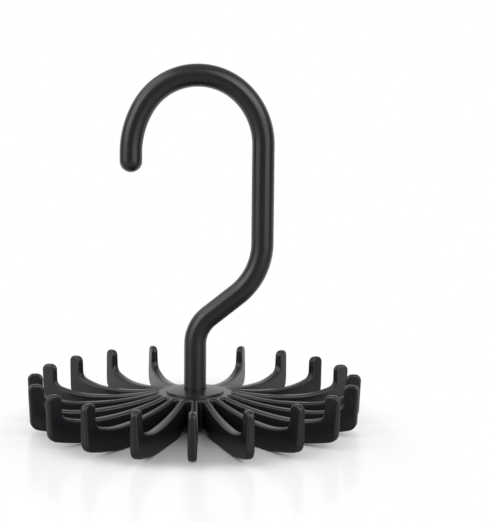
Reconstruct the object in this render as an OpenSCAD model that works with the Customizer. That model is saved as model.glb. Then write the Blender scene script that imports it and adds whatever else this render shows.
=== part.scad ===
// Revolving tie hanger: a ring of J-shaped arms round a hub, and a swan-neck hook that turns in it.
// Millimetres. The origin is on the turning axis, at the level of the feet. Z is up.
// The hook bends in the XZ plane, with its shank on the +X side and its free end on the -X side.

/* [Rack] */
// Number of arms round the hub
arm_count = 20; // [8:1:24]
// Distance from the turning axis to the outer face of a fingertip
rack_r = 67.5; // [60:0.5:80]
// Height of the fingertips above the feet
tip_z = 20.9; // [18:0.1:30]
// Lowest height of the saddle where a tie lies, above the feet
saddle_z = 9.3; // [7:0.1:11]
// Distance from the lowest place of the saddle to the finger
saddle_back = 15; // [10:0.5:17]

/* [Arm] */
// Thickness of an arm where it is thickest
arm_t = 3.6; // [2.6:0.1:4.4]
// Thickness of an arm where it leaves the hub
root_t = 2.6; // [1.8:0.1:3]
// Thickness of an arm along its lower edge
keel_t = 2.9; // [2.2:0.1:3.2]
// Thickness of a finger just below its tip
finger_t = 2.6; // [1.8:0.1:3]
// Width of a finger, measured along the arm
finger_w = 6; // [5:0.1:8]
// Distance that the outer face leans in from the fingertip to its lower corner
face_draft = 0.6; // [0:0.1:1.2]
// Height at which an arm is thickest
parting_z = 8.5; // [6:0.1:10]
// Distance from the axis at which an arm reaches its full thickness
full_r = 42; // [30:1:50]
// Chamfer along the lower edges and round the fingertip
edge = 0.6; // [0.3:0.1:0.8]

/* [Arm curves] */
// Radius of the two corners of a fingertip
tip_corner_r = 2.3; // [1:0.1:2.4]
// Radius of the lower outer corner
heel_r = 3.8; // [2:0.1:5]
// Radius of the fillet where the saddle turns up into the finger
throat_r = 3; // [1.5:0.1:5]
// Radius of the saddle's curve on the finger's side
saddle_out_r = 40; // [32:1:60]
// Radius of the lower edge's curve on the hub's side
belly_in_r = 38; // [34:1:80]
// Radius of the lower edge's curve on the finger's side
belly_out_r = 97; // [60:1:120]
// Distance from the flat foot to the outer face
foot_back = 26; // [22:0.5:30]
// Length of the flat foot
foot_len = 12; // [8:0.5:14]

/* [Hub] */
// Distance from the axis to the flats that the arms stand on
hub_r = 15; // [14:0.1:18]
// Height of the rim round the hub
rim_z = 13.6; // [12:0.1:16]
// Radius of the raised pad in the middle of the hub
pad_r = 11.7; // [9:0.1:13]
// Height of the pad's edge above the rim
pad_step = 0.8; // [0.4:0.1:1.2]
// Height that the pad's dome adds
dome_rise = 1; // [0.5:0.1:2]
// Height of the hub's underside above the feet
hub_floor = 2.2; // [1.6:0.1:3]
// Wall of the hub's outer skirt
skirt_wall = 2.2; // [1.6:0.1:2.6]
// Thickness of the hub's top plate
plate_t = 2.4; // [2:0.1:3]
// Wall of the boss round the snap end
boss_wall = 2.2; // [1.6:0.1:2.6]
// Number of ribs from the boss to the skirt
rib_count = 5; // [3:1:8]
// Thickness of a rib
rib_t = 1.6; // [1.2:0.1:2.4]
// Distance that the ribs stop short of the hub's underside
rib_recess = 2; // [1:0.1:4]

/* [Hook] */
// Diameter of the hook's rod
rod_d = 9; // [8:0.1:10]
// Height at which the stem starts to bend
stem_z = 33.3; // [28:0.1:40]
// Angle from upright of the slanted run
slant = 51.6; // [44:0.2:56]
// Radius of the lower bend, on the rod's centreline
low_bend_r = 14.4; // [12:0.1:18]
// Radius of the upper bend, on the rod's centreline
high_bend_r = 26.7; // [22:0.1:30]
// Distance from the axis to the shank's centreline
shank_x = 26.75; // [24:0.05:32]
// Height at which the shank turns into the arch
spring_z = 113.5; // [95:0.1:140]
// Radius of the arch on the shank's side, on the centreline
side_r = 28.3; // [26:0.1:32]
// Angle that the shank's side of the arch turns through
side_sweep = 44; // [30:1:60]
// Radius of the crown, on the centreline
crown_r = 25; // [23:0.1:27]
// Angle that the crown turns through
crown_sweep = 104.4; // [95:0.2:110]
// Radius of the arch on the free end's side, on the centreline
free_r = 36; // [30:0.5:42]
// Straight length of the free end before its round tip
free_leg = 3.2; // [1:0.1:20]

/* [Snap joint] */
// Running clearance between the hook and the hub, on the radius
run_gap = 0.05; // [0.02:0.01:0.1]
// Play along the axis, above and below the ledge
end_gap = 0.15; // [0.1:0.05:0.3]
// Depth of the socket that guides the stem
socket_depth = 5; // [4:0.1:6]
// Thickness of the ledge that the barbs hold on to
ledge_t = 2.5; // [2:0.1:3]
// Diameter of the neck that runs through the ledge
neck_d = 6.4; // [5.6:0.1:7]
// Distance that the barbs stand out from the neck
barb = 0.9; // [0.6:0.05:1]
// Height of the barbs' straight land
barb_land = 0.8; // [0.5:0.1:1.2]
// Length of the barbs' tapered nose
nose_len = 3.2; // [2.4:0.1:3.4]
// Width of the slot that lets the barbs close
slot_w = 1.8; // [1.6:0.1:2.2]
// Distance that the slot runs up past the neck, into the stem
slot_run = 2.5; // [1:0.1:4]
// Room round the barbs, for closing and opening
barb_room = 1.2; // [0.8:0.1:1.6]

/* [Hidden] */
plastic = [0.13, 0.13, 0.14];
ROUND = 96;
ARC_STEPS = 6;
// Cuts run this much past the faces that they open
past = 1;
// Each bend of the rod is fatter by this much on the radius than what it joins, and laps over it
swell = 0.02;
lap = 0.2;

function arm_name(i) = str("arm_", i < 10 ? "0" : "", i);

arm_pitch = 360 / arm_count;
rod_r = rod_d / 2;
neck_r = neck_d / 2;
barb_r = neck_r + barb;

// Heights of the snap joint, from the pad down
dome_z = rim_z + pad_step + dome_rise;
ledge_top = dome_z - socket_depth;
ledge_low = ledge_top - ledge_t;
barb_top = ledge_low - end_gap;
nose_z = barb_top - barb_land - nose_len;
recess_r = barb_r + barb_room;
boss_r = recess_r + boss_wall;
core_r = hub_r - skirt_wall;
dome_r = (pow(pad_r, 2) + pow(dome_rise, 2)) / (2 * dome_rise);

// Points of an arc, from angle a0 to angle a1, about the centre c
function arc(c, r, a0, a1, steps = ARC_STEPS) =
    [for (i = [0 : steps]) c + r * [cos(a0 + (a1 - a0) * i / steps), sin(a0 + (a1 - a0) * i / steps)]];

// Centre of an arc of radius r that lies inside a circle of radius big about c, and touches x = wall
function corner_centre(c, big, r, wall) =
    [wall - r, c[1] - sqrt(pow(big - r, 2) - pow(wall - r - c[0], 2))];

// Angle of the line from a to b
function heading(a, b) = atan2(b[1] - a[1], b[0] - a[0]);

// Centres of the curves of an arm's side view, with x away from the axis and y up
finger_in = rack_r - finger_w;
heel_wall = rack_r - face_draft;
saddle_r = finger_in - saddle_back;
foot_out_r = heel_wall - foot_back;
foot_in_r = foot_out_r - foot_len;
belly_in_c = [foot_in_r, belly_in_r];
belly_out_c = [foot_out_r, belly_out_r];
heel_c = corner_centre(belly_out_c, belly_out_r, heel_r, heel_wall);
saddle_out_c = [saddle_r, saddle_z + saddle_out_r];
throat_c = corner_centre(saddle_out_c, saddle_out_r, throat_r, finger_in);
saddle_run = saddle_r - hub_r;
saddle_fall = rim_z - saddle_z;
saddle_in_r = (pow(saddle_run, 2) + pow(saddle_fall, 2)) / (2 * saddle_fall);
saddle_in_c = [saddle_r, saddle_z + saddle_in_r];
tip_corner_z = tip_z - tip_corner_r;

arm_outline = concat(
    arc(belly_in_c, belly_in_r, -90 - asin((foot_in_r - hub_r) / belly_in_r), -90),
    arc(belly_out_c, belly_out_r, -90, heading(belly_out_c, heel_c)),
    arc(heel_c, heel_r, heading(belly_out_c, heel_c), 0),
    arc([rack_r - tip_corner_r, tip_corner_z], tip_corner_r, 0, 90),
    arc([finger_in + tip_corner_r, tip_corner_z], tip_corner_r, 90, 180),
    arc(throat_c, throat_r, 0, heading(saddle_out_c, throat_c)),
    arc(saddle_out_c, saddle_out_r, heading(saddle_out_c, throat_c), -90),
    arc(saddle_in_c, saddle_in_r, -90, -90 - asin(saddle_run / saddle_in_r)));

// Half of an arm's cross-section, from the keel up: thickest at the parting line
arm_section = [
    [keel_t / 2 - edge, 0], [keel_t / 2, edge], [arm_t / 2, parting_z],
    [finger_t / 2, tip_z - edge], [finger_t / 2 - edge, tip_z]];

// An arm lies along +X, with its root on the hub's flat
module arm() {
    color(plastic)
    intersection() {
        rotate([90, 0, 0])
            linear_extrude(height = arm_t + 2 * past, center = true)
                polygon(arm_outline);
        rotate([90, 0, 90])
            linear_extrude(height = rack_r + past)
                polygon(concat(arm_section, [for (i = [4 : -1 : 0]) [-arm_section[i][0], arm_section[i][1]]]));
        linear_extrude(height = tip_z + past)
            polygon([
                [hub_r, -root_t / 2], [full_r, -arm_t / 2], [rack_r + past, -arm_t / 2],
                [rack_r + past, arm_t / 2], [full_r, arm_t / 2], [hub_r, root_t / 2]]);
    }
}

// The hub's plan, with one flat for each arm
module hub_plan() {
    corner_r = hub_r / cos(arm_pitch / 2);
    polygon([for (i = [0 : arm_count - 1])
        corner_r * [cos((i + 0.5) * arm_pitch), sin((i + 0.5) * arm_pitch)]]);
}

// The pad and its shallow dome, down to the rim's underside
module pad() {
    dome_c = [0, dome_z - dome_r];
    rotate_extrude($fn = ROUND)
        polygon(concat(
            [[0, rim_z - plate_t], [pad_r, rim_z - plate_t]],
            arc(dome_c, dome_r, 90 - asin(pad_r / dome_r), 90)));
}

// Space that is cored out between the boss and the skirt, with the ribs left standing
module core() {
    difference() {
        translate([0, 0, hub_floor - past])
            cylinder(h = rim_z - plate_t - hub_floor + past, r = core_r, $fn = ROUND);
        translate([0, 0, hub_floor - 2 * past])
            cylinder(h = rim_z, r = boss_r, $fn = ROUND);
        for (i = [0 : rib_count - 1])
            rotate([0, 0, i * 360 / rib_count])
                translate([0, -rib_t / 2, hub_floor + rib_recess])
                    cube([core_r + past, rib_t, rim_z]);
    }
}

module hub() {
    color(plastic)
    difference() {
        union() {
            translate([0, 0, hub_floor])
                linear_extrude(height = rim_z - hub_floor)
                    hub_plan();
            pad();
        }
        core();
        translate([0, 0, ledge_top])
            cylinder(h = socket_depth + past, r = rod_r + run_gap, $fn = ROUND);
        translate([0, 0, ledge_low - past])
            cylinder(h = ledge_t + 2 * past, r = neck_r + run_gap, $fn = ROUND);
        translate([0, 0, hub_floor - past])
            cylinder(h = ledge_low - hub_floor + past, r = recess_r, $fn = ROUND);
    }
}

// Corners of the hook's centreline, from the stem to the free end, as [x, z]
low_c = [low_bend_r, stem_z];
low_end = low_c + low_bend_r * [-cos(slant), sin(slant)];
run_len = (shank_x - (low_bend_r + high_bend_r) * (1 - cos(slant))) / sin(slant);
run_end = low_end + run_len * [sin(slant), cos(slant)];
high_c = run_end + high_bend_r * [-cos(slant), sin(slant)];
side_c = [shank_x - side_r, spring_z];
crown_c = side_c + (side_r - crown_r) * [cos(side_sweep), sin(side_sweep)];
crown_end = side_sweep + crown_sweep;
free_c = crown_c + (crown_r - free_r) * [cos(crown_end), sin(crown_end)];
tip_c = free_c + [-free_r, -free_leg];

// A bend of the rod, about the centre c, from angle a0 to angle a1 and a lap past each
module bend(c, r, a0, a1, swells = 1) {
    lap_angle = asin(lap / r);
    translate([c[0], 0, c[1]])
        rotate([90, 0, 0])
            rotate([0, 0, a0 - lap_angle])
                rotate_extrude(angle = a1 - a0 + 2 * lap_angle, $fn = ROUND)
                    translate([r, 0])
                        circle(r = rod_r + swells * swell, $fn = ROUND / 2);
}

// A straight of the rod, from the point a, leaning by an angle from upright
module straight(a, lean, length) {
    translate([a[0], 0, a[1]])
        rotate([0, lean, 0])
            cylinder(h = length, r = rod_r, $fn = ROUND);
}

// The split snap end: a neck through the ledge, two barbs and a tapered nose
module snap_end() {
    translate([0, 0, barb_top])
        cylinder(h = ledge_top + end_gap - barb_top, r = neck_r, $fn = ROUND);
    translate([0, 0, barb_top - barb_land])
        cylinder(h = barb_land, r = barb_r, $fn = ROUND);
    translate([0, 0, nose_z])
        cylinder(h = nose_len, r1 = neck_r - barb / 2, r2 = barb_r, $fn = ROUND);
}

module slot() {
    slot_top = ledge_top + end_gap + slot_run;
    translate([-rod_r - past, -slot_w / 2, nose_z - past])
        cube([rod_d + 2 * past, slot_w, slot_top - nose_z + past]);
    translate([-rod_r - past, 0, slot_top])
        rotate([0, 90, 0])
            cylinder(h = rod_d + 2 * past, r = slot_w / 2, $fn = ROUND);
}

module hook() {
    color(plastic) {
        difference() {
            union() {
                straight([0, ledge_top + end_gap], 0, stem_z - ledge_top - end_gap);
                snap_end();
            }
            slot();
        }
        bend(low_c, low_bend_r, 180 - slant, 180);
        straight(low_end, slant, run_len);
        bend(high_c, high_bend_r, -slant, 0);
        straight([shank_x, high_c[1]], 0, spring_z - high_c[1]);
        bend(side_c, side_r, 0, side_sweep);
        bend(crown_c, crown_r, side_sweep, crown_end, 2);
        bend(free_c, free_r, crown_end, 180);
        straight(tip_c, 0, free_leg);
        translate([tip_c[0], 0, tip_c[1]])
            sphere(r = rod_r, $fn = ROUND / 2);
    }
}

hub();
hook();
for (i = [1 : arm_count])
    rotate([0, 0, (i - 1) * arm_pitch - 90]) arm();
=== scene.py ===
import bmesh
import bpy
import numpy as np
from mathutils import Matrix, Vector


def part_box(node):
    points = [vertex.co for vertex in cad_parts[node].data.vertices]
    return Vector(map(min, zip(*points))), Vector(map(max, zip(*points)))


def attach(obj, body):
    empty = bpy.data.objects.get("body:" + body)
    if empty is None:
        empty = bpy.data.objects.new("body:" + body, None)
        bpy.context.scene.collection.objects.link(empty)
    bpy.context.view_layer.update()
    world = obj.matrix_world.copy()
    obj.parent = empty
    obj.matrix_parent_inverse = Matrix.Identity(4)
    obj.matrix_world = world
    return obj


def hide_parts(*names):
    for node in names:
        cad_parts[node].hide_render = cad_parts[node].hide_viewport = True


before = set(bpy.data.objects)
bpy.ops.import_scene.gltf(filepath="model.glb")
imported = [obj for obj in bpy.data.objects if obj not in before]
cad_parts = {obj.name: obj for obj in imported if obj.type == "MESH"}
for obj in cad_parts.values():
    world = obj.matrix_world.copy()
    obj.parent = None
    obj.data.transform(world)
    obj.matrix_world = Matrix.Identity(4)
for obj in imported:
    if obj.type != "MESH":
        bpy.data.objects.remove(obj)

bl_info = {
    "name": "Revolving tie hanger",
    "version": (1, 0, 0),
    "blender": (4, 5, 0),
    "location": "3D View > Sidebar > Tie hanger",
    "description": "Builds the moulded rack and swan-neck hook of a revolving tie hanger, and a white stage",
    "category": "Add Mesh",
}

# Sizes are written in millimetres and turned to metres with this
MM = 0.001
# Points closer together than this are one point
WELD = 0.0005 * MM
# Edges that turn by more than this stay crisp
CRISP = np.radians(40)
# Points on the arc that rounds a corner of an outline
ARC_STEPS = 6
# Points on the quarter circle along an arm's edges
EDGE_STEPS = 7
# Points along an arm's saddle and belly, on a straight, on a fillet and on a corner of a fingertip
LONG_STEPS, STRAIGHT_STEPS, FILLET_STEPS, CORNER_STEPS = 34, 10, 10, 12
# Steps from a corner of a fingertip to its middle
TIP_STEPS = 4
# Points round the hub in a gap and across an arm's root, and rings on its pad and on its rim's rounding
GAP_STEPS, ROOT_STEPS, RING_STEPS = 17, 7, 20
# Rings on the hub's rim between the pad's foot and the rounding
RIM_STEPS = 4
# Points round the rod, and on the quarter circle of its round tip
ROD_STEPS, DOME_STEPS = 72, 14
# Points along the rod: stem, lower bend, slanted run, upper bend, shank, the arch's three arcs and free leg
PATH_STEPS = (10, 18, 8, 24, 16, 20, 40, 16, 5)
# Points round a prong of the snap end and across its flat side
PRONG_STEPS, FLAT_STEPS = 32, 8
# Points round the floor
FLOOR_STEPS = 96
# Height of the camera's sensor in millimetres, and the distances in metres between which it sees
SENSOR_HIGH, CAMERA_REACH = 36, (0.01, 20)

ARM_NODES = sorted(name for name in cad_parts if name.startswith("arm_"))
HUB_LOW, HUB_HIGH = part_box("hub")
ARM_LOW, ARM_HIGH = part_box(ARM_NODES[0])
HOOK_LOW, HOOK_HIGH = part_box("hook")
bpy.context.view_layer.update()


def length(name, size, description):
    """A size in metres, given here in millimetres."""
    return bpy.props.FloatProperty(
        name=name, description=description, default=size * MM, precision=5, unit="LENGTH"
    )


def angle(name, degrees, description):
    """An angle, given here in degrees."""
    return bpy.props.FloatProperty(
        name=name, description=description, default=np.radians(degrees), subtype="ANGLE"
    )


def share(name, value, description, top=1.0):
    """A plain number from 0 to a top value."""
    return bpy.props.FloatProperty(
        name=name, description=description, default=value, min=0.0, max=top
    )


def linear(code):
    """An sRGB hex colour as the linear red, green and blue that a shader takes."""
    srgb = np.array([int(code[i:i + 2], 16) for i in (1, 3, 5)]) / 255
    return tuple(np.where(srgb <= 0.04045, srgb / 12.92, ((srgb + 0.055) / 1.055) ** 2.4))


def colour(name, code, description):
    """A colour, given here as an sRGB hex value."""
    return bpy.props.FloatVectorProperty(
        name=name, description=description, default=linear(code), subtype="COLOR", min=0.0, max=1.0
    )


class ArmShape(bpy.types.PropertyGroup):
    """Sizes of one J-shaped arm, seen from the side with the axis on the left."""

    rack_r: length("Rack radius", -ARM_LOW.y / MM, "Distance from the axis to the outer face of a fingertip")
    tip_z: length("Tip height", ARM_HIGH.z / MM, "Height of the fingertips above the feet")
    saddle_z: length("Saddle height", 9.3, "Lowest height of an arm's upper edge")
    saddle_back: length("Saddle back", 15, "Distance from the lowest place of the saddle to the finger")
    saddle_out_r: length("Outer saddle curve", 40, "Radius of the saddle's curve on the finger's side")
    throat_r: length("Throat fillet", 3, "Radius where the saddle turns up into the finger")
    finger_w: length("Finger width", 6, "Width of a finger along the arm")
    tip_corner_r: length("Tip corners", 2.3, "Radius of the two corners of a fingertip")
    face_draft: length("Face draft", 0.6, "Distance that the outer face leans in towards its lower corner")
    heel_r: length("Heel", 3.8, "Radius of the lower outer corner")
    foot_back: length("Foot back", 26, "Distance from the flat foot to the outer face")
    foot_len: length("Foot length", 12, "Length of the flat foot")
    belly_in_r: length("Inner belly curve", 38, "Radius of the lower edge's curve on the hub's side")
    belly_out_r: length("Outer belly curve", 97, "Radius of the lower edge's curve on the finger's side")
    arm_t: length("Thickness", 3.6, "Thickness at the parting line")
    root_t: length("Root thickness", 2.6, "Thickness where an arm leaves the hub")
    keel_t: length("Keel thickness", 2.9, "Thickness along the lower edge")
    finger_t: length("Finger thickness", 2.6, "Thickness just below the fingertip")
    parting_z: length("Parting height", 8.5, "Height at which an arm is thickest")
    full_r: length("Full radius", 42, "Distance from the axis at which an arm has its full thickness")
    top_round: length("Upper edge", 0.95, "Rounding along the saddle and round the finger")
    low_round: length("Lower edge", 0.85, "Rounding along the lower edges")
    blend: length("Face blend", 0.1, "Distance over which two faces of an arm's side run into each other")
    root_in: length("Root depth", 1.2, "Depth to which an arm's root reaches into the hub")
    root_dip: length("Root dip", 0.1, "Depth of an arm's root below the hub's rim")


class HubShape(bpy.types.PropertyGroup):
    """Sizes of the hub, as radii from the axis and heights above the feet."""

    hub_r: length("Hub radius", 15, "Distance from the axis to the gaps between the arms")
    rim_z: length("Rim height", 13.6, "Height of the flat rim round the pad")
    pad_r: length("Pad radius", 11.7, "Radius of the raised pad")
    pad_step: length("Pad step", 0.8, "Height of the pad's edge above the rim")
    pad_z: length("Pad height", HUB_HIGH.z / MM, "Height of the pad's dome at the axis")
    floor_z: length("Underside", HUB_LOW.z / MM, "Height of the hub's underside")
    core_r: length("Core radius", 12.8, "Inner radius of the outer skirt")
    plate_t: length("Top plate", 2.4, "Thickness of the plate under the rim")
    boss_r: length("Boss radius", 7.5, "Outer radius of the boss round the snap end")
    recess_r: length("Recess radius", 5.3, "Radius of the room round the barbs")
    ledge_low: length("Ledge underside", 7.9, "Height of the ledge's lower face")
    ledge_top: length("Ledge top", 10.4, "Height of the ledge's upper face")
    ledge_r: length("Ledge bore", 3.25, "Radius of the bore through the ledge")
    socket_r: length("Socket", 4.55, "Radius of the socket that guides the stem")
    rib_count: bpy.props.IntProperty(name="Ribs", description="Ribs from the boss to the skirt", default=5)
    rib_t: length("Rib thickness", 1.6, "Thickness of a rib")
    rib_recess: length("Rib recess", 2, "Distance that the ribs stop short of the underside")
    small_round: length("Small edges", 0.25, "Rounding of the lower rims and the socket's mouth")
    core_round: length("Core fillet", 0.6, "Fillet at the roots of the skirt and the boss")
    edge_round: length("Crisp edges", 0.15, "Rounding at the pad's edge and foot, and round the ledge's bore")
    pad_draft: length("Pad draft", 0.05, "Distance that the pad's side leans out towards its foot")
    pad_foot: length("Pad foot", 0.3, "Distance from the pad's edge to where the rim's own rows start")
    rim_blend: length("Rim blend", 0.05, "Distance over which the rim runs into the saddles")
    rim_under: length("Rim under saddle", 0.02, "Depth of the hub's top below the upper edge of an arm")
    rib_in: length("Rib ends", 0.8, "Length by which a rib reaches into the boss and the skirt")
    rib_up: length("Rib top", 0.5, "Height by which a rib reaches into the top plate")


class HookShape(bpy.types.PropertyGroup):
    """Sizes of the hook, along the centreline of its rod."""

    rod_r: length("Rod radius", 4.46, "Radius of the rod where it stands upright")
    swell: length("Swell", 0.04, "Extra radius where the rod runs across")
    shank_x: length("Shank", 26.75, "Distance from the axis to the shank")
    stem_z: length("Stem", 33.3, "Height at which the stem starts to bend")
    slant: angle("Slant", 51.6, "Angle of the slanted run from upright")
    low_bend_r: length("Lower bend", 14.4, "Radius of the lower bend")
    high_bend_r: length("Upper bend", 26.7, "Radius of the upper bend")
    spring_z: length("Spring", 113.5, "Height at which the shank turns into the arch")
    side_r: length("Shank side", 28.3, "Radius of the arch on the shank's side")
    side_sweep: angle("Side sweep", 44, "Angle that the shank's side of the arch turns through")
    crown_r: length("Crown", 25, "Radius of the crown")
    crown_sweep: angle("Crown sweep", 104.4, "Angle that the crown turns through")
    free_r: length("Free side", 36, "Radius of the arch on the free end's side")
    free_leg: length("Free leg", 3.2, "Straight length before the round tip")
    seam: length("Seam", 0.03, "Height of the mould's parting seam along the rod")
    seam_half: angle("Seam width", 2.6, "Half of the seam's width, as an angle round the rod")
    neck_r: length("Neck", 3.2, "Radius of the neck through the ledge")
    barb_r: length("Barbs", 4.1, "Radius over the barbs")
    nose_r: length("Nose", 2.75, "Radius of the nose's end")
    journal_z: length("Journal", 10.55, "Height of the stem's lower face")
    barb_top: length("Barb top", 7.75, "Height of the barbs' upper faces")
    barb_low: length("Barb land", 6.95, "Height at which the nose starts to taper")
    nose_z: length("Nose end", HOOK_LOW.z / MM, "Height of the nose's end")
    slot_w: length("Slot", 1.8, "Width of the slot between the prongs")
    slot_top: length("Slot top", 13.95, "Height of the slot's top")
    overlap: length("Overlap", 1, "Length by which the rod reaches down into the snap end")
    snap_round: length("Snap edges", 0.15, "Rounding of the snap end's edges")


class PlasticFinish(bpy.types.PropertyGroup):
    """Finish of the moulded plastic."""

    rack_colour: colour("Rack colour", "#19181C", "Colour of the rack's plastic")
    hook_colour: colour("Hook colour", "#1C1C1D", "Colour of the hook's plastic")
    rack_roughness: share("Rack roughness", 0.30, "Mean roughness of the rack")
    hook_roughness: share("Hook roughness", 0.23, "Mean roughness of the hook")
    ior: share("IOR", 1.5, "Index of refraction of the plastic", 3.0)
    grain: length("Grain", 0.25, "Spacing of the mould's fine texture")
    grain_depth: length("Grain depth", 0.001, "Depth of the mould's fine texture")
    flow: length("Flow marks", 9, "Spacing of the faint cloudy marks left by the flowing plastic")


class StudioSetup(bpy.types.PropertyGroup):
    """Camera, lamps and floor."""

    distance: length("Camera distance", 472.7, "Distance of the camera from the turning axis")
    height: length("Camera height", 120.8, "Height of the camera above the floor")
    turn: angle("Camera turn", 0.755, "Angle of the camera round the axis, from the first arm")
    aim_right: angle("Aim to the right", 1.672, "Angle by which the camera looks to the right of the Y axis")
    aim_down: angle("Aim down", 6.473, "Angle by which the camera looks down")
    roll: angle("Roll", 0.52, "Angle by which the camera is rolled")
    focal: length("Focal length", 81.72, f"Focal length on a sensor {SENSOR_HIGH} mm high")
    lamp_away: length("Lamp distance", 900, "Distance of the lamps from the point that they light")
    lamp_aim: length("Lamp aim", 80, "Height of the point that the lamps light")
    floor_r: length("Floor radius", 3000, "Radius of the floor")
    floor_white: colour("Floor colour", "#F6F6F8", "Colour of the floor")
    # Painted shade: the floor's colour towards the front, for all rays but the camera's, so the plastic
    # mirrors a darker floor there and gets less bounce light from it
    floor_painted_shade: colour("Darkest floor colour", "#A0A0A2", "Colour of the floor where it mirrors darkest")
    floor_ior: share("Floor IOR", 1.35, "Index of refraction that sets how much the floor mirrors", 3.0)
    floor_roughness: share("Floor roughness", 0.17, "Roughness of the floor's mirror")
    fade_from: length("Fade from", 85, "Distance at which the floor starts to fade to plain white")
    fade_to: length("Fade to", 135, "Distance at which the floor is plain white")
    fade_ahead: length("Fade ahead", 30, "Distance by which the fade's middle lies in front of the axis")
    fade_slim: share("Fade oval", 1.4, "How many times longer than wide the fade's oval is", 3.0)
    # Painted light: round the rack the camera sees a share of plain white glow on the floor, which pales the
    # shadows there. It starts at the first distance below and is whole at the second
    fill: share("Floor fill", 0.5, "Share of plain white that the floor has round the rack")
    painted_fill_from: length("Fill from", 52, "Distance from the axis at which the fill starts")
    painted_fill_to: length("Fill to", 76, "Distance from the axis from which the fill is whole")
    # The floor's painted shade runs from darkest at the first place along Y to none at the second
    painted_shade_from: length("Darker floor", -20, "Place along Y at which the floor mirrors darkest")
    painted_shade_to: length("White floor", 90, "Place along Y from which the floor mirrors white")
    ambient: share("Ambient", 0.2, "Brightness of the dark parts of the studio")
    ceiling: share("Ceiling", 0.5, "Brightness of the ceiling")
    backdrop: share("Backdrop", 0.85, "Brightness of the white backdrop")


def add_node(tree, kind, inputs=None, **settings):
    """Add one node. Settings go on the node, and inputs hold plain values or other nodes' outputs."""
    made = tree.nodes.new(kind)
    for name, value in settings.items():
        setattr(made, name, value)
    for socket, value in (inputs or {}).items():
        if isinstance(value, bpy.types.NodeSocket):
            tree.links.new(value, made.inputs[socket])
        else:
            made.inputs[socket].default_value = value
    return made


def moulded_polypropylene(name, base, roughness, look):
    """Polypropylene, injection moulded in a finely spark-eroded steel mould.

    The eye sees a deep black with soft, satin highlights, broken up a little by the fine grain, and by
    faint clouds where the plastic flowed.
    """
    material = bpy.data.materials.new(name)
    material.use_nodes = True
    tree = material.node_tree
    tree.nodes.clear()
    place = add_node(tree, "ShaderNodeTexCoord").outputs["Object"]
    # The flow marks turn the gloss up and down by a tenth
    flow = add_node(
        tree, "ShaderNodeTexNoise",
        {"Vector": place, "Scale": 1 / look.flow, "Detail": 3.0, "Roughness": 0.55},
    )
    gloss = add_node(
        tree, "ShaderNodeMapRange",
        {"Value": flow.outputs["Fac"], "From Min": 0.3, "From Max": 0.7,
         "To Min": roughness * 0.9, "To Max": roughness * 1.1},
    )
    # The real grain is about 0.05 mm across, and is drawn coarser so that it shows
    grain = add_node(
        tree, "ShaderNodeTexNoise",
        {"Vector": place, "Scale": 1 / look.grain, "Detail": 2.0, "Roughness": 0.6},
    )
    relief = add_node(
        tree, "ShaderNodeBump",
        {"Height": grain.outputs["Fac"], "Strength": 1.0, "Distance": look.grain_depth},
    )
    shader = add_node(
        tree, "ShaderNodeBsdfPrincipled",
        {"Base Color": (*base, 1.0), "Roughness": gloss.outputs["Result"], "IOR": look.ior,
         "Normal": relief.outputs["Normal"]},
    )
    add_node(tree, "ShaderNodeOutputMaterial", {"Surface": shader.outputs["BSDF"]})
    return material


def grid_faces(rows, columns, first, ring):
    """Corner numbers of a grid's four-sided faces. Columns always join up, and rows do if ring is true."""
    corner = first + np.arange(rows * columns).reshape(rows, columns)
    across = np.roll(corner, -1, axis=1)
    up, up_across = np.roll(corner, -1, axis=0), np.roll(across, -1, axis=0)
    last = rows if ring else rows - 1
    return np.stack([corner, across, up_across, up], axis=2)[:last].reshape(-1, 4)


def moulding(name, grids, material, body, nodes, ring=False):
    """Put grids of points, each (rows, columns, 3) in metres, into one closed mesh that stands for CAD nodes.

    Rows that shrink to a point close an end. Equal points are welded, and faces without any area go.
    """
    faces, first = [], 0
    for number, grid in enumerate(grids):
        rows, columns = grid.shape[:2]
        faces.append(grid_faces(rows, columns, first, ring and number == 0))
        first += rows * columns
    points = np.concatenate([grid.reshape(-1, 3) for grid in grids])
    mesh = bpy.data.meshes.new(name)
    mesh.from_pydata(points.tolist(), [], np.concatenate(faces).tolist())
    work = bmesh.new()
    work.from_mesh(mesh)
    bmesh.ops.remove_doubles(work, verts=work.verts, dist=WELD)
    bmesh.ops.dissolve_degenerate(work, dist=WELD, edges=work.edges)
    bmesh.ops.recalc_face_normals(work, faces=work.faces)
    work.to_mesh(mesh)
    work.free()
    mesh.polygons.foreach_set("use_smooth", np.ones(len(mesh.polygons), bool))
    mesh.set_sharp_from_angle(angle=CRISP)
    mesh.materials.append(material)
    piece = bpy.data.objects.new(name, mesh)
    bpy.context.scene.collection.objects.link(piece)
    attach(piece, body)
    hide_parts(*nodes)


def with_ends(rows):
    """Rows of points with their first and last middle added as a point, which closes both ends."""
    ends = [np.broadcast_to(rows[i].mean(axis=0), rows[i].shape)[None] for i in (0, -1)]
    return np.concatenate([ends[0], rows, ends[1]])


def turned(points, turn):
    """Points turned about the Z axis."""
    c, s = np.cos(turn), np.sin(turn)
    return points @ np.array([[c, s, 0], [-s, c, 0], [0, 0, 1]])


def arc(centre, radius, start, end, steps, outward=1.0):
    """Points on an arc, and beside each the direction away from the plastic, as rows of x, z, nx, nz."""
    a = np.linspace(start, end, steps)
    ray = np.column_stack([np.cos(a), np.sin(a)])
    return np.hstack([np.asarray(centre) + radius * ray, outward * ray])


def line(start, end, steps):
    """Points on a straight from start to end, with the direction to its left beside each."""
    t = np.linspace(0, 1, steps)[:, None]
    run = np.subtract(end, start)
    left = np.array([-run[1], run[0]]) / np.hypot(*run)
    return np.hstack([np.asarray(start) + t * run, np.broadcast_to(left, (steps, 2))])


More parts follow.
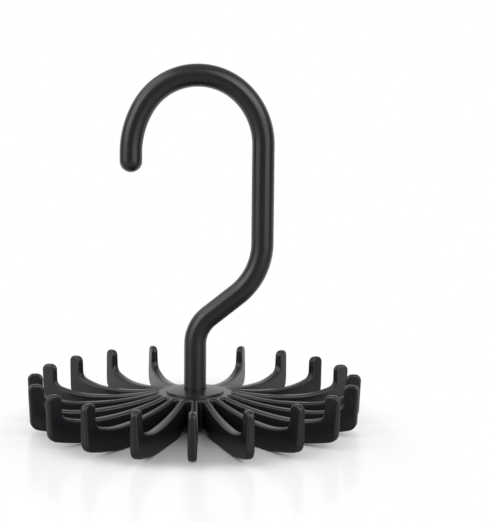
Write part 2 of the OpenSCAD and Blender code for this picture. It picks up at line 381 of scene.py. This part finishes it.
def valley(r, low, near, near_r, far, far_r):
    """Height over the feet, and the direction down, of a curve that is flat from near to far.

    Before near it is an arc of radius near_r, and beyond far one of radius far_r, both tangent to the flat.
    """
    off = np.where(r < near, r - near, np.where(r > far, r - far, 0.0))
    bend = np.where(r < near, near_r, far_r)
    lean = off / bend
    flat = np.sqrt(1 - lean ** 2)
    return low + bend * (1 - flat), np.column_stack([lean, -flat])


def corner_centre(centre, big, small, wall):
    """Centre of an arc of radius small, inside a circle of radius big about centre, that touches x = wall."""
    x = wall - small
    return np.array([x, centre[1] - np.sqrt((big - small) ** 2 - (x - centre[0]) ** 2)])


def heading(start, end):
    """Angle of the line from start to end."""
    return np.arctan2(end[1] - start[1], end[0] - start[0])


def soft_min(a, b, blend):
    """The smaller of a and b, with the corner between them rounded over a distance blend."""
    h = np.clip(0.5 + 0.5 * (b - a) / blend, 0, 1)
    return b + (a - b) * h - blend * h * (1 - h)


def saddle_height(arm, hub, r):
    """Height and downward direction of the saddle at a distance r from the axis.

    The inner arc is the one that passes the lowest place of the saddle and the rim's edge.
    """
    low_r = arm.rack_r - arm.finger_w - arm.saddle_back
    run, fall = low_r - hub.hub_r, hub.rim_z - arm.saddle_z
    inner_r = (run ** 2 + fall ** 2) / (2 * fall)
    return valley(r, arm.saddle_z, low_r, inner_r, low_r, arm.saddle_out_r)


def half_thickness(arm, hub, r, z):
    """Half of an arm's thickness: the smaller of what the mould's draft and the wedge in plan allow."""
    draft = soft_min(
        arm.keel_t + (arm.arm_t - arm.keel_t) * z / arm.parting_z,
        arm.arm_t + (arm.finger_t - arm.arm_t) * (z - arm.parting_z) / (arm.tip_z - arm.parting_z),
        arm.blend,
    )
    wedge = arm.root_t + (arm.arm_t - arm.root_t) * (r - hub.hub_r) / (arm.full_r - hub.hub_r)
    return soft_min(draft, wedge, arm.blend) / 2


def arm_rails(arm, hub):
    """Upper and lower edge of an arm from the root to the tip, with equal counts of points.

    The upper edge runs along the saddle, round the throat, up the finger's inner face and round the inner tip
    corner. The lower one runs along the belly and the foot, round the heel, up the outer face and round the
    outer corner. They meet in the middle of the tip. Each row is x, z and the direction out of the plastic.
    """
    finger_in = arm.rack_r - arm.finger_w
    heel_wall = arm.rack_r - arm.face_draft
    low_r = finger_in - arm.saddle_back
    foot_out = heel_wall - arm.foot_back
    foot_in = foot_out - arm.foot_len
    saddle_c = (low_r, arm.saddle_z + arm.saddle_out_r)
    belly_c = (foot_out, arm.belly_out_r)
    throat_c = corner_centre(saddle_c, arm.saddle_out_r, arm.throat_r, finger_in)
    heel_c = corner_centre(belly_c, arm.belly_out_r, arm.heel_r, heel_wall)
    throat_a, heel_a = heading(saddle_c, throat_c), heading(belly_c, heel_c)
    root_r = hub.hub_r - arm.root_in
    spread = np.linspace(0, 1, LONG_STEPS)
    upper_r = root_r + (saddle_c[0] + arm.saddle_out_r * np.cos(throat_a) - root_r) * spread
    lower_r = root_r + (belly_c[0] + arm.belly_out_r * np.cos(heel_a) - root_r) * spread
    upper_z, down = saddle_height(arm, hub, upper_r)
    # Inside the hub the root dips under the rim
    upper_z = np.minimum(upper_z, np.where(upper_r < hub.hub_r, hub.rim_z - arm.root_dip, upper_z))
    lower_z, out = valley(lower_r, 0.0, foot_in, arm.belly_in_r, foot_out, arm.belly_out_r)
    tip_c = arm.tip_z - arm.tip_corner_r
    inner_c, outer_c = (finger_in + arm.tip_corner_r, tip_c), (arm.rack_r - arm.tip_corner_r, tip_c)
    middle = ((inner_c[0] + outer_c[0]) / 2, arm.tip_z)
    upper = [
        np.column_stack([upper_r, upper_z, -down]),
        arc(throat_c, arm.throat_r, throat_a, 0, FILLET_STEPS, -1.0)[1:],
        line((finger_in, throat_c[1]), (finger_in, tip_c), STRAIGHT_STEPS)[1:],
        arc(inner_c, arm.tip_corner_r, np.pi, np.pi / 2, CORNER_STEPS)[1:],
        line((inner_c[0], arm.tip_z), middle, TIP_STEPS + 1)[1:],
    ]
    lower = [
        np.column_stack([lower_r, lower_z, out]),
        arc(heel_c, arm.heel_r, heel_a, 0, FILLET_STEPS)[1:],
        line((heel_wall, heel_c[1]), (arm.rack_r, tip_c), STRAIGHT_STEPS)[1:],
        arc(outer_c, arm.tip_corner_r, 0, np.pi / 2, CORNER_STEPS)[1:],
        line((outer_c[0], arm.tip_z), middle, TIP_STEPS + 1)[1:],
    ]
    # These two straights have the plastic on their left, so their directions are turned round
    lower[2][:, 2:] *= -1
    lower[4][:, 2:] *= -1
    return np.vstack(upper), np.vstack(lower)


def arm_surface(arm, hub):
    """An arm along +X as a grid: a loop round the section at each pair of points of the two edges.

    A loop follows a quarter circle from the flat top to the side, a straight down the side, a quarter circle
    to the flat underside, and then the same on the other side. At a depth d inside an edge, the half
    thickness falls short of the full one by c - sqrt(c^2 - (c - d)^2), where c is that edge's rounding.
    """
    upper, lower = arm_rails(arm, hub)
    bend = np.linspace(0, np.pi / 2, EDGE_STEPS)

    def edge(rail, c):
        depth, short = c * (1 - np.cos(bend)), c * (1 - np.sin(bend))
        at = rail[:, None, :2] - rail[:, None, 2:] * depth[..., None]
        return at, half_thickness(arm, hub, at[..., 0], at[..., 1]) - short

    top, top_half = edge(upper, arm.top_round)
    # The lower edge's rounding grows to the upper one's where it climbs the outer face
    climb = np.clip(lower[:, 1] / arm.parting_z, 0, 1)[:, None]
    low, low_half = edge(lower, arm.low_round + (arm.top_round - arm.low_round) * climb)
    # Across the tip the side shrinks to its middle, and its points stay on those where the corners end
    row = np.arange(len(upper))
    corner = len(upper) - TIP_STEPS - 1
    shrink = np.clip(row - corner, 0, None)[:, None] / (2 * TIP_STEPS)
    t = np.clip(np.linspace(0, 1, 2 * TIP_STEPS + 1)[1:-1], shrink, 1 - shrink)[..., None]
    held = np.minimum(row, corner)
    side = top[held, None, -1] * (1 - t) + low[held, None, -1] * t
    side_half = half_thickness(arm, hub, side[..., 0], side[..., 1])
    at = np.concatenate([top, side, low[:, ::-1]], axis=1)
    half = np.concatenate([top_half, side_half, low_half[:, ::-1]], axis=1)
    near = np.stack([at[..., 0], half, at[..., 1]], axis=2)
    far = np.stack([at[..., 0], -half, at[..., 1]], axis=2)[:, ::-1]
    rows = np.concatenate([near, far], axis=1)
    root = np.broadcast_to(rows[0].mean(axis=0), rows[0].shape)[None]
    return np.concatenate([root, rows])


def rounded(corners):
    """A closed outline through the corners, rows of r, z and radius, with an arc of that radius at each.

    An arc's centre lies on the line that halves the corner, and its ends lie on the two straights.
    """
    at, radius = corners[:, :2], corners[:, 2:]
    before, after = np.roll(at, 1, axis=0) - at, np.roll(at, -1, axis=0) - at
    before /= np.linalg.norm(before, axis=1, keepdims=True)
    after /= np.linalg.norm(after, axis=1, keepdims=True)
    half = np.arccos(np.clip((before * after).sum(axis=1, keepdims=True), -1, 1)) / 2
    reach = radius / np.tan(half)
    start, end = at + before * reach, at + after * reach
    middle = before + after
    middle /= np.linalg.norm(middle, axis=1, keepdims=True)
    centre = at + middle * radius / np.sin(half)
    t = np.linspace(0, 1, ARC_STEPS)[None, :, None]
    chord = (start[:, None] * (1 - t) + end[:, None] * t) - centre[:, None]
    size = np.linalg.norm(chord, axis=2, keepdims=True)
    # A radius of 0 leaves the corner sharp, and its chord has no length
    on_arc = centre[:, None] + chord / np.where(size > 0, size, 1) * radius[:, None]
    return np.where(radius[:, None] > 0, on_arc, at[:, None]).reshape(-1, 2)


def hub_surface(arm, hub):
    """The hub as a ring: a closed outline of r and z, carried round the axis.

    Between two arms the outer wall is the inner half of a circle that touches both arms' sides, so its radius
    follows that circle. Close to the wall the top falls away as a quarter circle, by the distance to it.
    """
    pitch = 2 * np.pi / len(ARM_NODES)
    half_pitch = pitch / 2
    h = arm.root_t / 2
    gap_r = (hub.hub_r * np.sin(half_pitch) - h) / (1 - np.sin(half_pitch))
    gap_c = hub.hub_r + gap_r
    touch_x = gap_c * np.cos(half_pitch)
    touch_r, touch_a = np.hypot(touch_x, h), half_pitch - np.arctan2(h, touch_x)
    in_gap = touch_a * np.sin(np.linspace(-np.pi / 2, np.pi / 2, GAP_STEPS))
    in_arm = np.linspace(touch_a, pitch - touch_a, ROOT_STEPS)[1:-1]
    off = np.concatenate([in_gap, in_arm])
    theta = (np.arange(len(ARM_NODES))[:, None] * pitch + half_pitch + off).ravel()
    off = np.tile(np.where(off > half_pitch, off - pitch, off), len(ARM_NODES))
    inside = np.clip(gap_r ** 2 - (gap_c * np.sin(off)) ** 2, 0, None)
    wall = np.where(np.abs(off) <= touch_a, gap_c * np.cos(off) - np.sqrt(inside), touch_r)
    # Outline from the socket's mouth over the dome, round the outside and back through the boss
    edge_z = hub.rim_z + hub.pad_step
    dome_r = (hub.pad_r ** 2 + (hub.pad_z - edge_z) ** 2) / (2 * (hub.pad_z - edge_z))
    dome_x = np.linspace(hub.socket_r + hub.small_round, hub.pad_r - hub.small_round, RING_STEPS)
    dome = np.column_stack([dome_x, hub.pad_z - dome_r + np.sqrt(dome_r ** 2 - dome_x ** 2)])
    round_in = arm.top_round
    foot = hub.pad_r + hub.pad_foot
    pad_side = rounded(np.array([
        [dome[-1, 0], dome[-1, 1], 0],
        [hub.pad_r, edge_z, hub.edge_round],
        [hub.pad_r + hub.pad_draft, hub.rim_z, hub.edge_round],
        [foot, hub.rim_z, 0],
    ]))[ARC_STEPS:3 * ARC_STEPS]
    # The rim's rows crowd towards the gaps, over its rounding and a little more
    crowd = 1.3 * round_in
    reach = 1 - np.cos(np.linspace(0, np.pi / 2, RING_STEPS))[::-1]
    rim_x = np.unique(np.concatenate([
        np.linspace(foot, hub.hub_r - crowd, RIM_STEPS), hub.hub_r - crowd * reach]))
    rim = np.column_stack([rim_x, np.full(len(rim_x), hub.rim_z)])
    ceiling = hub.rim_z - hub.plate_t
    small, core = hub.small_round, hub.core_round
    mouth_z = dome[0, 1] - small
    below = rounded(np.array([
        [hub.hub_r, hub.rim_z - round_in, 0],
        [hub.hub_r, hub.floor_z, 2 * small],
        [hub.core_r, hub.floor_z, small],
        [hub.core_r, ceiling, core],
        [hub.boss_r, ceiling, core],
        [hub.boss_r, hub.floor_z, small],
        [hub.recess_r, hub.floor_z, small],
        [hub.recess_r, hub.ledge_low, 0],
        [hub.ledge_r, hub.ledge_low, hub.edge_round],
        [hub.ledge_r, hub.ledge_top, hub.edge_round],
        [hub.socket_r, hub.ledge_top, 0],
        [hub.socket_r, mouth_z, 0],
    ]))
    outline = np.vstack([dome, pad_side, rim, below])
    r, z = outline[:, :1], outline[:, 1:]
    on_top = np.zeros(len(outline), bool)
    on_top[len(dome) + len(pad_side):len(dome) + len(pad_side) + len(rim)] = True
    stretch = np.clip((r - hub.core_r) / (hub.hub_r - hub.core_r), 0, 1)
    radius = r + stretch * (wall - hub.hub_r)
    # Distance to the gap's edge, from its circle or, beside an arm, from that arm's side
    arm_off = half_pitch - np.abs(off)
    along, beside = radius * np.cos(arm_off), radius * np.sin(arm_off)
    from_circle = np.hypot(radius * np.cos(off) - gap_c, radius * np.sin(off)) - gap_r
    deep = np.clip(np.where(along > touch_x, h - beside, from_circle), 0, round_in)
    fall = round_in - np.sqrt(round_in ** 2 - (round_in - deep) ** 2)
    saddle = saddle_height(arm, hub, radius.ravel())[0].reshape(radius.shape) - hub.rim_under
    top = soft_min(np.full_like(radius, hub.rim_z), saddle, hub.rim_blend) - fall
    height = np.where(on_top[:, None], top, z)
    return np.stack([radius * np.cos(theta), radius * np.sin(theta), height], axis=2)


def rib_surface(hub, turn):
    """A rib as a bar with a rounded lower edge, from inside the boss to inside the skirt."""
    low, high = hub.floor_z + hub.rib_recess, hub.rim_z - hub.plate_t + hub.rib_up
    half, small = hub.rib_t / 2, hub.small_round
    section = rounded(np.array([[-half, low, small], [half, low, small], [half, high, 0], [-half, high, 0]]))
    reach = np.array([hub.boss_r - hub.rib_in, hub.core_r + hub.rib_in])
    rows = np.stack([
        np.broadcast_to(reach[:, None], (2, len(section))),
        np.broadcast_to(section[:, 0], (2, len(section))),
        np.broadcast_to(section[:, 1], (2, len(section))),
    ], axis=2)
    return turned(with_ends(rows), turn)


def hook_line(hook):
    """The rod's centreline as rows of x, z and the direction of travel, from inside the snap end to the tip.

    It is the stem's straight, the lower bend, the slanted run, the upper bend, the shank, and an arch of
    three arcs that are tangent to one another, then a short straight leg.
    """
    s = hook.slant
    low_c = np.array([hook.low_bend_r, hook.stem_z])
    low_end = low_c + hook.low_bend_r * np.array([-np.cos(s), np.sin(s)])
    across = hook.shank_x - (hook.low_bend_r + hook.high_bend_r) * (1 - np.cos(s))
    run_end = low_end + across / np.sin(s) * np.array([np.sin(s), np.cos(s)])
    high_c = run_end + hook.high_bend_r * np.array([-np.cos(s), np.sin(s)])
    side_c = np.array([hook.shank_x - hook.side_r, hook.spring_z])
    turn = hook.side_sweep
    crown_c = side_c + (hook.side_r - hook.crown_r) * np.array([np.cos(turn), np.sin(turn)])
    crown_end = turn + hook.crown_sweep
    free_c = crown_c + (hook.crown_r - hook.free_r) * np.array([np.cos(crown_end), np.sin(crown_end)])
    leg = free_c - np.array([hook.free_r, 0])
    tip = leg - np.array([0, hook.free_leg])

    def straight(start, end, steps):
        way = np.subtract(end, start) / np.hypot(*np.subtract(end, start))
        t = np.linspace(0, 1, steps)[:, None]
        return np.hstack([start + t * np.subtract(end, start), np.broadcast_to(way, (steps, 2))])

    def curve(centre, radius, start, end, steps):
        a = np.linspace(start, end, steps)
        side = np.sign(end - start)
        ray = np.column_stack([np.cos(a), np.sin(a)])
        return np.hstack([centre + radius * ray, side * np.column_stack([-ray[:, 1], ray[:, 0]])])

    base = np.array([0.0, hook.slot_top - hook.overlap])
    stem_n, low_n, run_n, high_n, shank_n, side_n, crown_n, free_n, leg_n = PATH_STEPS
    return np.vstack([
        straight(base, (0, hook.stem_z), stem_n)[:-1],
        curve(low_c, hook.low_bend_r, np.pi, np.pi - s, low_n),
        straight(low_end, run_end, run_n)[1:-1],
        curve(high_c, hook.high_bend_r, -s, 0, high_n),
        straight((hook.shank_x, high_c[1]), (hook.shank_x, hook.spring_z), shank_n)[1:-1],
        curve(side_c, hook.side_r, 0, turn, side_n),
        curve(crown_c, hook.crown_r, turn, crown_end, crown_n)[1:],
        curve(free_c, hook.free_r, crown_end, np.pi, free_n)[1:],
        straight(leg, tip, leg_n)[1:],
    ])


def hook_surface(hook):
    """The rod as a tube: a circle carried along the centreline, square to it, closed by a round tip.

    The radius grows by the swell as the rod leans from upright to level, and two fine ridges in the plane of
    the bends are the seam where the halves of the mould meet.
    """
    path = hook_line(hook)
    dome = np.linspace(0, np.pi / 2, DOME_STEPS)[1:]
    end = path[-1]
    tip = np.column_stack([
        end[0] + end[2] * hook.rod_r * np.sin(dome), end[1] + end[3] * hook.rod_r * np.sin(dome),
        np.full(len(dome), end[2]), np.full(len(dome), end[3])])
    shrink = np.concatenate([np.ones(len(path)), np.cos(dome)])
    path = np.vstack([path, tip])
    radius = (hook.rod_r + hook.swell * path[:, 2] ** 2) * shrink
    t = np.linspace(0, 2 * np.pi, ROD_STEPS, endpoint=False)
    # The points crowd towards the two seams
    crowd = 0.35
    round_a = t - crowd * np.sin(2 * t)
    ridge = hook.seam * np.exp(-(np.sin(round_a) / hook.seam_half) ** 2)
    reach = radius[:, None] + ridge * shrink[:, None]
    normal = np.column_stack([path[:, 3], -path[:, 2]])
    x = path[:, :1] + reach * np.cos(round_a) * normal[:, :1]
    z = path[:, 1:2] + reach * np.cos(round_a) * normal[:, 1:]
    y = reach * np.sin(round_a)
    rows = np.stack([x, y, z], axis=2)
    base = np.broadcast_to(rows[0].mean(axis=0), rows[0].shape)[None]
    return np.concatenate([base, rows])


def prong_surface(hook, side):
    """Half of the split snap end: circle segments stacked along the axis, cut flat by the slot.

    The radius follows an outline of journal, neck, barb and tapered nose. Side is 1 or -1.
    """
    small = hook.snap_round
    outline = rounded(np.array([
        [0, hook.slot_top, 0],
        [hook.rod_r, hook.slot_top, 0],
        [hook.rod_r, hook.journal_z, small],
        [hook.neck_r, hook.journal_z, small],
        [hook.neck_r, hook.barb_top, small],
        [hook.barb_r, hook.barb_top, small],
        [hook.barb_r, hook.barb_low, small],
        [hook.nose_r, hook.nose_z, 2 * small],
        [0, hook.nose_z, 0],
    ]))[ARC_STEPS:-ARC_STEPS]
    half = hook.slot_w / 2
    r, z = outline[:, :1], outline[:, 1:]
    a = np.arcsin(np.clip(half / r, 0, 1))
    sweep = a + (np.pi - 2 * a) * np.linspace(0, 1, PRONG_STEPS)
    chord = np.linspace(-1, 1, FLAT_STEPS)[1:-1] * r * np.cos(a)
    x = np.concatenate([r * np.cos(sweep), chord], axis=1)
    y = np.concatenate([r * np.sin(sweep), np.full(chord.shape, half)], axis=1) * side
    return with_ends(np.stack([x, y, np.broadcast_to(z, x.shape)], axis=2))


class TIEHANGER_OT_arms(bpy.types.Operator):
    """Build the twenty J-shaped arms of the rack"""

    bl_idname = "tie_hanger.arms"
    bl_label = "Arms"

    def execute(self, context):
        scene = context.scene
        finish = scene.hanger_finish
        material = moulded_polypropylene(
            "polypropylene_moulded_arms", finish.rack_colour, finish.rack_roughness, finish)
        surface = arm_surface(scene.hanger_arm, scene.hanger_hub)
        for number, node in enumerate(ARM_NODES):
            turn = 2 * np.pi * number / len(ARM_NODES) - np.pi / 2
            moulding(f"rack_{node}", [turned(surface, turn)], material, "rack", [node])
        return {"FINISHED"}


class TIEHANGER_OT_hub(bpy.types.Operator):
    """Build the hub with its raised pad, cored underside, ribs and snap socket"""

    bl_idname = "tie_hanger.hub"
    bl_label = "Hub"

    def execute(self, context):
        scene = context.scene
        finish, hub = scene.hanger_finish, scene.hanger_hub
        material = moulded_polypropylene(
            "polypropylene_moulded_hub", finish.rack_colour, finish.rack_roughness, finish)
        ribs = [rib_surface(hub, 2 * np.pi * i / hub.rib_count) for i in range(hub.rib_count)]
        parts = [hub_surface(scene.hanger_arm, hub), *ribs]
        moulding("rack_hub", parts, material, "rack", ["hub"], ring=True)
        return {"FINISHED"}


class TIEHANGER_OT_hook(bpy.types.Operator):
    """Build the swan-neck hook with its round tip and split snap end"""

    bl_idname = "tie_hanger.hook"
    bl_label = "Hook"

    def execute(self, context):
        scene = context.scene
        finish, hook = scene.hanger_finish, scene.hanger_hook
        material = moulded_polypropylene(
            "polypropylene_moulded_hook", finish.hook_colour, finish.hook_roughness, finish)
        parts = [hook_surface(hook), prong_surface(hook, 1), prong_surface(hook, -1)]
        moulding("swivel_hook", parts, material, "hook", ["hook"])
        return {"FINISHED"}


def place_camera(studio):
    """Put the camera on a circle round the axis, and aim it from there by its three angles."""
    yaw, pitch, roll = studio.aim_right, studio.aim_down, studio.roll
    ahead = Vector((np.sin(yaw) * np.cos(pitch), np.cos(yaw) * np.cos(pitch), -np.sin(pitch)))
    right = Vector((np.cos(yaw), -np.sin(yaw), 0))
    up = right.cross(ahead)
    across, above = right * np.cos(roll) + up * np.sin(roll), up * np.cos(roll) - right * np.sin(roll)
    data = bpy.data.cameras.new("photo_camera")
    data.sensor_fit = "VERTICAL"
    data.sensor_height = SENSOR_HIGH
    data.lens = studio.focal / MM
    data.clip_start, data.clip_end = CAMERA_REACH
    camera = bpy.data.objects.new("photo_camera", data)
    turn = Matrix((across, above, -ahead)).transposed().to_4x4()
    spot = Vector((np.sin(studio.turn), -np.cos(studio.turn), 0)) * studio.distance
    camera.matrix_world = Matrix.Translation(spot + Vector((0, 0, studio.height))) @ turn
    bpy.context.scene.collection.objects.link(camera)
    bpy.context.scene.camera = camera


# Name, azimuth, elevation, width and height in degrees, and brightness of each lamp
LAMPS = (
    ("softbox_left", -60, 29, 48, 66, 1.4),
    ("softbox_left_core", -58, 24, 34, 26, 1.2),
    ("softbox_left_back", -102, 50, 36, 34, 0.7),
    ("softbox_right", 43, 27, 48, 64, 1.6),
    ("softbox_right_core", 43, 32, 52, 22, 1.4),
)


def softbox(studio, name, azimuth, elevation, wide, high, brightness):
    """A soft area lamp. Azimuth 0 is the camera's side, and the right is positive.

    It covers the angles wide and high as seen from the object. The watts follow from the brightness of its
    face.
    """
    away = studio.lamp_away
    data = bpy.data.lights.new(name, "AREA")
    data.shape = "RECTANGLE"
    data.size, data.size_y = 2 * away * np.tan(np.radians([wide, high]) / 2)
    data.energy = brightness * np.pi * data.size * data.size_y
    lamp = bpy.data.objects.new(name, data)
    a, e = np.radians(azimuth), np.radians(elevation)
    spot = Vector((np.sin(a) * np.cos(e), -np.cos(a) * np.cos(e), np.sin(e))) * away
    lamp.location = spot + Vector((0, 0, studio.lamp_aim))
    lamp.rotation_euler = (-spot).to_track_quat("-Z", "Y").to_euler()
    lamp.visible_camera = False
    bpy.context.scene.collection.objects.link(lamp)


# Where the parts of the studio start and are whole, as the Y or Z part of a direction of length 1
BACKDROP_SIDES = (0.15, 0.5)
BACKDROP_TOP = (0.9, 0.6)
CEILING_EDGE = (0.2, 0.55)


def studio_world(studio):
    """White backdrop behind, a greyer ceiling, and a dim front and dim sides.

    The brightness depends on the direction alone. The backdrop is where y is high, up to where z is high too,
    and the ceiling is where z is high. The camera sees plain white everywhere.
    """
    world = bpy.data.worlds.new("white_studio")
    world.use_nodes = True
    tree = world.node_tree
    tree.nodes.clear()
    way = add_node(tree, "ShaderNodeTexCoord").outputs["Generated"]
    axes = add_node(tree, "ShaderNodeSeparateXYZ", {"Vector": way}).outputs

    def band(value, start, whole, top):
        return add_node(
            tree, "ShaderNodeMapRange", {"Value": value, "From Min": start, "From Max": whole, "To Max": top},
            interpolation_type="SMOOTHSTEP").outputs["Result"]

    def combine(kind, a, b):
        return add_node(tree, "ShaderNodeMath", {0: a, 1: b}, operation=kind).outputs[0]

    back = combine(
        "MULTIPLY", band(axes["Y"], *BACKDROP_SIDES, studio.backdrop), band(axes["Z"], *BACKDROP_TOP, 1.0))
    above = combine("ADD", band(axes["Z"], *CEILING_EDGE, studio.ceiling - studio.ambient), studio.ambient)
    bright = combine("MAXIMUM", back, above)
    path = add_node(tree, "ShaderNodeLightPath").outputs
    plain = add_node(tree, "ShaderNodeBackground", {"Strength": 1.0, "Color": (1, 1, 1, 1)})
    room = add_node(tree, "ShaderNodeBackground", {"Strength": bright, "Color": (1, 1, 1, 1)})
    seen = add_node(
        tree, "ShaderNodeMixShader",
        {0: path["Is Camera Ray"], 1: room.outputs[0], 2: plain.outputs[0]})
    add_node(tree, "ShaderNodeOutputWorld", {"Surface": seen.outputs[0]})
    bpy.context.scene.world = world


def white_acrylic(studio):
    """Polished white acrylic sheet: it keeps soft shadows, and mirrors what stands on it faintly.

    Away from the object it fades to plain white for the camera, so that no horizon shows. The fade follows an
    oval that reaches further to the front, where the mirror image lies. Closer in, round the rack, the camera
    sees painted light: a share of white glow that pales the floor's shadows.
    """
    material = bpy.data.materials.new("acrylic_polished_white")
    material.use_nodes = True
    tree = material.node_tree
    tree.nodes.clear()
    place = add_node(tree, "ShaderNodeTexCoord").outputs["Object"]
    oval = add_node(
        tree, "ShaderNodeVectorMath", {0: place, 1: (studio.fade_slim, 1, 1), 2: (0, studio.fade_ahead, 0)},
        operation="MULTIPLY_ADD").outputs["Vector"]
    away = add_node(tree, "ShaderNodeVectorMath", {0: oval}, operation="LENGTH").outputs["Value"]
    fade = add_node(
        tree, "ShaderNodeMapRange", {"Value": away, "From Min": studio.fade_from, "From Max": studio.fade_to},
        interpolation_type="SMOOTHSTEP").outputs["Result"]
    # Painted light: from just outside the feet the camera sees a share of white glow that pales the floor's
    # shadows
    reach = add_node(tree, "ShaderNodeVectorMath", {0: place}, operation="LENGTH").outputs["Value"]
    near = add_node(
        tree, "ShaderNodeMapRange",
        {"Value": reach, "From Min": studio.painted_fill_from, "From Max": studio.painted_fill_to, "To Max": studio.fill},
        interpolation_type="SMOOTHSTEP").outputs["Result"]
    pale = add_node(tree, "ShaderNodeMath", {0: fade, 1: near}, operation="MAXIMUM").outputs[0]
    path = add_node(tree, "ShaderNodeLightPath").outputs
    lift = add_node(
        tree, "ShaderNodeMath", {0: pale, 1: path["Is Camera Ray"]}, operation="MULTIPLY").outputs[0]
    # The camera sees the sheet evenly lit. For all other rays the sheet has painted shade, darker towards the
    # front, which the plastic mirrors and which lights it less from below
    along = add_node(tree, "ShaderNodeSeparateXYZ", {"Vector": place}).outputs["Y"]
    painted_shade_ramp = add_node(
        tree, "ShaderNodeMapRange",
        {"Value": along, "From Min": studio.painted_shade_from, "From Max": studio.painted_shade_to},
        interpolation_type="SMOOTHSTEP").outputs["Result"]
    even = add_node(
        tree, "ShaderNodeMath", {0: painted_shade_ramp, 1: path["Is Camera Ray"]}, operation="MAXIMUM").outputs[0]
    white = add_node(tree, "ShaderNodeBsdfDiffuse", {"Color": (*studio.floor_white, 1.0)})
    # Painted shade: the darker floor colour towards the front
    painted_shade_bsdf = add_node(tree, "ShaderNodeBsdfDiffuse", {"Color": (*studio.floor_painted_shade, 1.0)})
    sheet = add_node(tree, "ShaderNodeMixShader", {0: even, 1: painted_shade_bsdf.outputs[0], 2: white.outputs[0]})
    polish = add_node(
        tree, "ShaderNodeBsdfGlossy", {"Color": (1, 1, 1, 1), "Roughness": studio.floor_roughness})
    shine = add_node(tree, "ShaderNodeFresnel", {"IOR": studio.floor_ior}).outputs[0]
    surface = add_node(tree, "ShaderNodeMixShader", {0: shine, 1: sheet.outputs[0], 2: polish.outputs[0]})
    glow = add_node(tree, "ShaderNodeEmission", {"Color": (1, 1, 1, 1), "Strength": 1.0})
    seen = add_node(tree, "ShaderNodeMixShader", {0: lift, 1: surface.outputs[0], 2: glow.outputs[0]})
    add_node(tree, "ShaderNodeOutputMaterial", {"Surface": seen.outputs[0]})
    return material


class TIEHANGER_OT_stage(bpy.types.Operator):
    """Set up the camera, the lamps, the white world and the floor"""

    bl_idname = "tie_hanger.stage"
    bl_label = "Stage"

    def execute(self, context):
        scene = context.scene
        studio = scene.hanger_studio
        scene.view_settings.view_transform = "Standard"
        place_camera(studio)
        for lamp in LAMPS:
            softbox(studio, *lamp)
        studio_world(studio)
        turn = np.linspace(0, 2 * np.pi, FLOOR_STEPS, endpoint=False)
        # From the outside in, so that the faces point up
        reach = np.array([studio.floor_r, studio.fade_to, 0.0])[:, None]
        level = np.zeros((len(reach), FLOOR_STEPS))
        rings = np.stack([reach * np.cos(turn), reach * np.sin(turn), level], axis=2)
        faces = grid_faces(len(reach), FLOOR_STEPS, 0, False)
        mesh = bpy.data.meshes.new("floor")
        mesh.from_pydata(rings.reshape(-1, 3).tolist(), [], faces.tolist())
        work = bmesh.new()
        work.from_mesh(mesh)
        bmesh.ops.remove_doubles(work, verts=work.verts, dist=WELD)
        work.to_mesh(mesh)
        work.free()
        mesh.materials.append(white_acrylic(studio))
        floor = bpy.data.objects.new("floor", mesh)
        scene.collection.objects.link(floor)
        return {"FINISHED"}


class TIEHANGER_PT_parts(bpy.types.Panel):
    """Lists the pieces of the tie hanger and the stage"""

    bl_idname = "TIEHANGER_PT_parts"
    bl_label = "Tie hanger"
    bl_space_type = "VIEW_3D"
    bl_region_type = "UI"
    bl_category = "Tie hanger"

    def draw(self, context):
        for operator in (TIEHANGER_OT_stage, TIEHANGER_OT_hub, TIEHANGER_OT_arms, TIEHANGER_OT_hook):
            self.layout.operator(operator.bl_idname)


GROUPS = {
    "hanger_arm": ArmShape,
    "hanger_hub": HubShape,
    "hanger_hook": HookShape,
    "hanger_finish": PlasticFinish,
    "hanger_studio": StudioSetup,
}
CLASSES = (
    *GROUPS.values(), TIEHANGER_OT_stage, TIEHANGER_OT_hub, TIEHANGER_OT_arms, TIEHANGER_OT_hook,
    TIEHANGER_PT_parts,
)


def register():
    for entry in CLASSES:
        bpy.utils.register_class(entry)
    for name, group in GROUPS.items():
        setattr(bpy.types.Scene, name, bpy.props.PointerProperty(type=group))


def unregister():
    for name in GROUPS:
        delattr(bpy.types.Scene, name)
    for entry in reversed(CLASSES):
        bpy.utils.unregister_class(entry)


def main():
    register()
    bpy.ops.tie_hanger.stage()
    bpy.ops.tie_hanger.hub()
    bpy.ops.tie_hanger.arms()
    bpy.ops.tie_hanger.hook()


if __name__ == "__main__":
    main()
